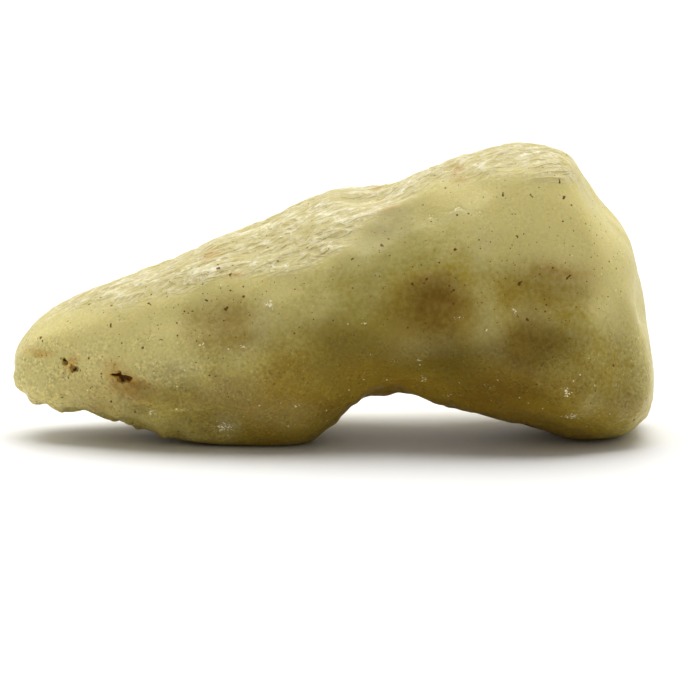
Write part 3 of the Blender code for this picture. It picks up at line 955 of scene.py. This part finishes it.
def speck_share(tree, place, specks, share):
    """1 inside small round specks: one in some of the cells of a grid, of uneven sizes."""
    largest = specks.radius / specks.spacing
    cells = add(tree, "TexVoronoi", {"Vector": place, "Scale": 1 / specks.spacing})
    chance = add(tree, "SeparateColor", {"Color": cells.outputs["Color"]})
    there = calc(tree, "LESS_THAN", chance.outputs["Red"], share)
    size = rise(tree, chance.outputs["Green"], 0.0, 1.0, SMALLEST_SPECK * largest, largest)
    inside = calc(tree, "SUBTRACT", size, cells.outputs["Distance"])
    soft = calc(tree, "DIVIDE", inside, SPECK_RIM * largest, clamp=True)
    return calc(tree, "MULTIPLY", soft, there)


def ragged_mark(tree, place, name, edge):
    """How strongly a mark shows where it is painted, with a ragged edge."""
    paint = painted(tree, name)
    uneven = calc(tree, "MULTIPLY_ADD", swing(tree, place, edge.length, edge.detail), edge.amount, paint)
    strength = rise(tree, paint, 0.0, FAINTEST_MARK, 0.0, edge.strength)
    return calc(tree, "MULTIPLY", rise(tree, uneven, edge.start, edge.end), strength)


def marked(tree, place, colour, colours):
    """The colour with its dark specks, flecks and pits, its white chips and its sparkles."""
    off_place = crooked(tree, place)
    for specks in DARK_SPECKS:
        share = speck_share(tree, off_place, specks, painted(tree, "speckled"))
        colour = mixed(tree, calc(tree, "MULTIPLY", share, SPECK_STRENGTH), colour, colours.speck)
    colour = mixed(tree, ragged_mark(tree, place, "pit", PIT_EDGE), colour, colours.speck)
    colour = mixed(tree, ragged_mark(tree, place, "chip", CHIP_EDGE), colour, colours.chip)
    sparkles = speck_share(tree, off_place, SPARKLES, rise(tree, painted(tree, "grain"), *SPARKLE_RISE))
    return mixed(tree, calc(tree, "MULTIPLY", sparkles, SPARKLE_STRENGTH), colour, colours.chip)


def mottled(tree, place, patchy, colour):
    """The colour with fine light and dark grain, strongest in the lower half and in patches."""
    amount = rise(tree, painted(tree, "grain"), *MOTTLE_GRAIN_RISE)
    amount = calc(tree, "MULTIPLY", amount, rise(tree, patchy, *MOTTLE_PATCH_RISE))
    tone = calc(tree, "MULTIPLY_ADD", swing(tree, place, MOTTLE, DETAIL), amount, 1.0)
    return add(tree, "VectorMath", {0: colour, "Scale": tone}, operation="SCALE").outputs[0]


def fine_ripples(tree, place):
    """1 on the crests of the finest ripples of the top, falling to 0 in their troughs."""
    turned = add(
        tree, "Mapping", {"Vector": place, "Rotation": (0, 0, RIPPLE_TURN), "Scale": (RIPPLE_STRETCH, 1, 1)},
        vector_type="TEXTURE").outputs[0]
    inputs = {
        "Vector": turned,
        "Scale": 1 / FINE_RIPPLE_LENGTH,
        "Detail": FINE_RIPPLE_DETAIL,
        "Distortion": FINE_RIPPLE_BEND,
    }
    wave = add(tree, "TexNoise", inputs).outputs["Fac"]
    trough = calc(tree, "ABSOLUTE", calc(tree, "SUBTRACT", wave, 0.5))
    return rise(tree, trough, *FINE_RIPPLE_RISE)


def skin_bump(tree, place, ripples):
    """Fine ripples on the top and frosted grain all over, as a bump in millimetres."""
    height = calc(tree, "MULTIPLY", calc(tree, "MULTIPLY", ripples, painted(tree, "top")), RIPPLE_BUMP)
    for length, detail, amount in BUMPS:
        height = calc(tree, "MULTIPLY_ADD", lumps(tree, place, length, detail), amount, height)
    return add(tree, "Bump", {"Height": height, "Strength": 1.0, "Distance": MM}).outputs["Normal"]


def desert_glass(colours, finish):
    """Cloudy yellow-green natural glass with a frosted, waxy skin."""
    material = bpy.data.materials.new("desert glass")
    material.use_nodes = True
    tree = material.node_tree
    shader = tree.nodes["Principled BSDF"]
    place = add(tree, "TexCoord").outputs["Object"]
    patchy = lumps(tree, place, PATCHY, DETAIL)
    ripples = fine_ripples(tree, place)
    colour = glass_colour_in_painted_light(tree, place, colours)
    colour = tinted(tree, place, patchy, colour, colours)
    colour = frosted_and_glinting_top(tree, place, patchy, ripples, colour, colours)
    colour = sugared(tree, place, patchy, colour, colours)
    colour = marked(tree, place, colour, colours)
    colour = mottled(tree, place, patchy, colour)
    unevenness = lumps(tree, place, ROUGH_LENGTH, DETAIL)
    roughness = rise(tree, unevenness, *ROUGH_SPAN, finish.smoothest, finish.roughest)
    tree.links.new(colour, shader.inputs["Base Color"])
    tree.links.new(roughness, shader.inputs["Roughness"])
    tree.links.new(skin_bump(tree, place, ripples), shader.inputs["Normal"])
    shader.inputs["IOR"].default_value = finish.ior
    shader.inputs["Specular IOR Level"].default_value = finish.shine
    shader.inputs["Subsurface Weight"].default_value = finish.scatter
    shader.inputs["Subsurface Radius"].default_value = SCATTER_COLOURS
    shader.inputs["Subsurface Scale"].default_value = finish.scatter_depth
    return material


class STONE_OT_worn_glass(Operator):
    """Makes the stone: its worn skin, its paints and its glass"""

    bl_idname = "stone.worn_glass"
    bl_label = "Worn glass stone"

    def execute(self, context):
        sizes = context.scene.stone_skin
        bm = paired_copy()
        around = list(directions_around(DIRECTIONS))
        # The light that comes through the glass is painted into its colour as light and shade.
        paint_light(bm, "glow", [way for way in around if way.z > 0], sizes.light_reach)
        paint_light(bm, "behind", [way for way in around if way.y > FROM_BEHIND], sizes.light_reach)
        bm = made_finer(bm, sizes.levels)
        divide_marks(bm)
        press_skin(bm, sizes)
        paint_marks(bm)
        mesh = bpy.data.meshes.new(PIECE)
        bm.to_mesh(mesh)
        bm.free()
        mesh.shade_smooth()
        mesh.materials.append(desert_glass(context.scene.stone_colours, context.scene.stone_finish))
        stone = bpy.data.objects.new(PIECE, mesh)
        context.scene.collection.objects.link(stone)
        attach(stone, "root")
        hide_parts(NODE)
        return {"FINISHED"}


def pale_floor(colour):
    """A plain pale surface, very slightly uneven in tone."""
    material = bpy.data.materials.new("pale floor")
    material.use_nodes = True
    tree = material.node_tree
    place = add(tree, "TexCoord").outputs["Object"]
    shader = tree.nodes["Principled BSDF"]
    darker = [FLOOR_DARKER * value for value in colour]
    tone = mixed(tree, lumps(tree, place, FLOOR_CLOUDS), opaque(colour), darker)
    tree.links.new(tone, shader.inputs["Base Color"])
    shader.inputs["Roughness"].default_value = FLOOR_ROUGHNESS
    return material


def lay_floor(stage):
    """A round floor just under the feet."""
    bm = bmesh.new()
    bmesh.ops.create_circle(bm, cap_ends=True, segments=FLOOR_SIDES, radius=stage.floor_radius)
    bmesh.ops.translate(bm, vec=(0, 0, -FLOOR_DROP), verts=bm.verts)
    mesh = bpy.data.meshes.new("floor")
    bm.to_mesh(mesh)
    bm.free()
    mesh.materials.append(pale_floor(stage.floor_colour))
    floor = bpy.data.objects.new("floor", mesh)
    bpy.context.scene.collection.objects.link(floor)


def light_stage(stage):
    """A broad light above and a little behind the stone, and a white surround that gives less light than it
    shows."""
    sun = bpy.data.lights.new("overhead", "SUN")
    sun.energy = stage.overhead
    sun.angle = stage.overhead_spread
    overhead = bpy.data.objects.new("overhead", sun)
    overhead.rotation_euler = (-stage.overhead_tilt, 0, 0)
    bpy.context.scene.collection.objects.link(overhead)
    world = bpy.data.worlds.new("white surround")
    world.use_nodes = True
    tree = world.node_tree
    along = add(tree, "SeparateXYZ", {"Vector": add(tree, "TexCoord").outputs["Generated"]}).outputs["Y"]
    light = rise(tree, along, *SURROUND_SPAN, stage.surround_front, stage.surround_back)
    strength = calc(tree, "MAXIMUM", light, add(tree, "LightPath").outputs["Is Camera Ray"])
    tree.links.new(strength, tree.nodes["Background"].inputs["Strength"])
    tree.nodes["Background"].inputs["Color"].default_value = (1, 1, 1, 1)
    bpy.context.scene.world = world


def place_camera(stage):
    """A camera in front of the stone that looks a little down at it."""
    camera = bpy.data.objects.new("camera", bpy.data.cameras.new("camera"))
    camera.data.lens = stage.lens
    back = Vector((0, -math.cos(stage.camera_height), math.sin(stage.camera_height)))
    camera.location = Vector(stage.aim) + stage.camera_distance * back
    camera.rotation_euler = (math.radians(90) - stage.camera_height, 0, 0)
    bpy.context.scene.collection.objects.link(camera)
    bpy.context.scene.camera = camera


class STONE_OT_stage(Operator):
    """Lays the floor, sets up the lights and places the camera"""

    bl_idname = "stone.stage"
    bl_label = "Stage"

    def execute(self, context):
        stage = context.scene.stone_stage
        lay_floor(stage)
        light_stage(stage)
        place_camera(stage)
        context.scene.view_settings.view_transform = "Standard"
        return {"FINISHED"}


class STONE_PT_panel(Panel):
    """The sizes and colours of the stone and of its stage"""

    bl_idname = "STONE_PT_panel"
    bl_label = "Desert glass"
    bl_space_type = "VIEW_3D"
    bl_region_type = "UI"
    bl_category = "Stone"

    def draw(self, context):
        for title, group, operator in SECTIONS:
            box = self.layout.box()
            box.label(text=title)
            values = getattr(context.scene, group)
            for name in values.bl_rna.properties.keys():
                if name not in ("rna_type", "name"):
                    box.prop(values, name)
            if operator:
                box.operator(operator)


SECTIONS = (
    ("Skin", "stone_skin", None),
    ("Finish", "stone_finish", None),
    ("Glass", "stone_colours", "stone.worn_glass"),
    ("Stage", "stone_stage", "stone.stage"),
)
GROUPS = {
    "stone_skin": SkinSizes,
    "stone_colours": GlassColours,
    "stone_finish": GlassFinish,
    "stone_stage": StageSizes,
}
CLASSES = (*GROUPS.values(), STONE_OT_worn_glass, STONE_OT_stage, STONE_PT_panel)


def register():
    for cls in CLASSES:
        bpy.utils.register_class(cls)
    for name, group in GROUPS.items():
        setattr(bpy.types.Scene, name, PointerProperty(type=group))


def unregister():
    for name in GROUPS:
        delattr(bpy.types.Scene, name)
    for cls in reversed(CLASSES):
        bpy.utils.unregister_class(cls)


def main():
    register()
    bpy.ops.stone.worn_glass()
    bpy.ops.stone.stage()


if __name__ == "__main__":
    main()
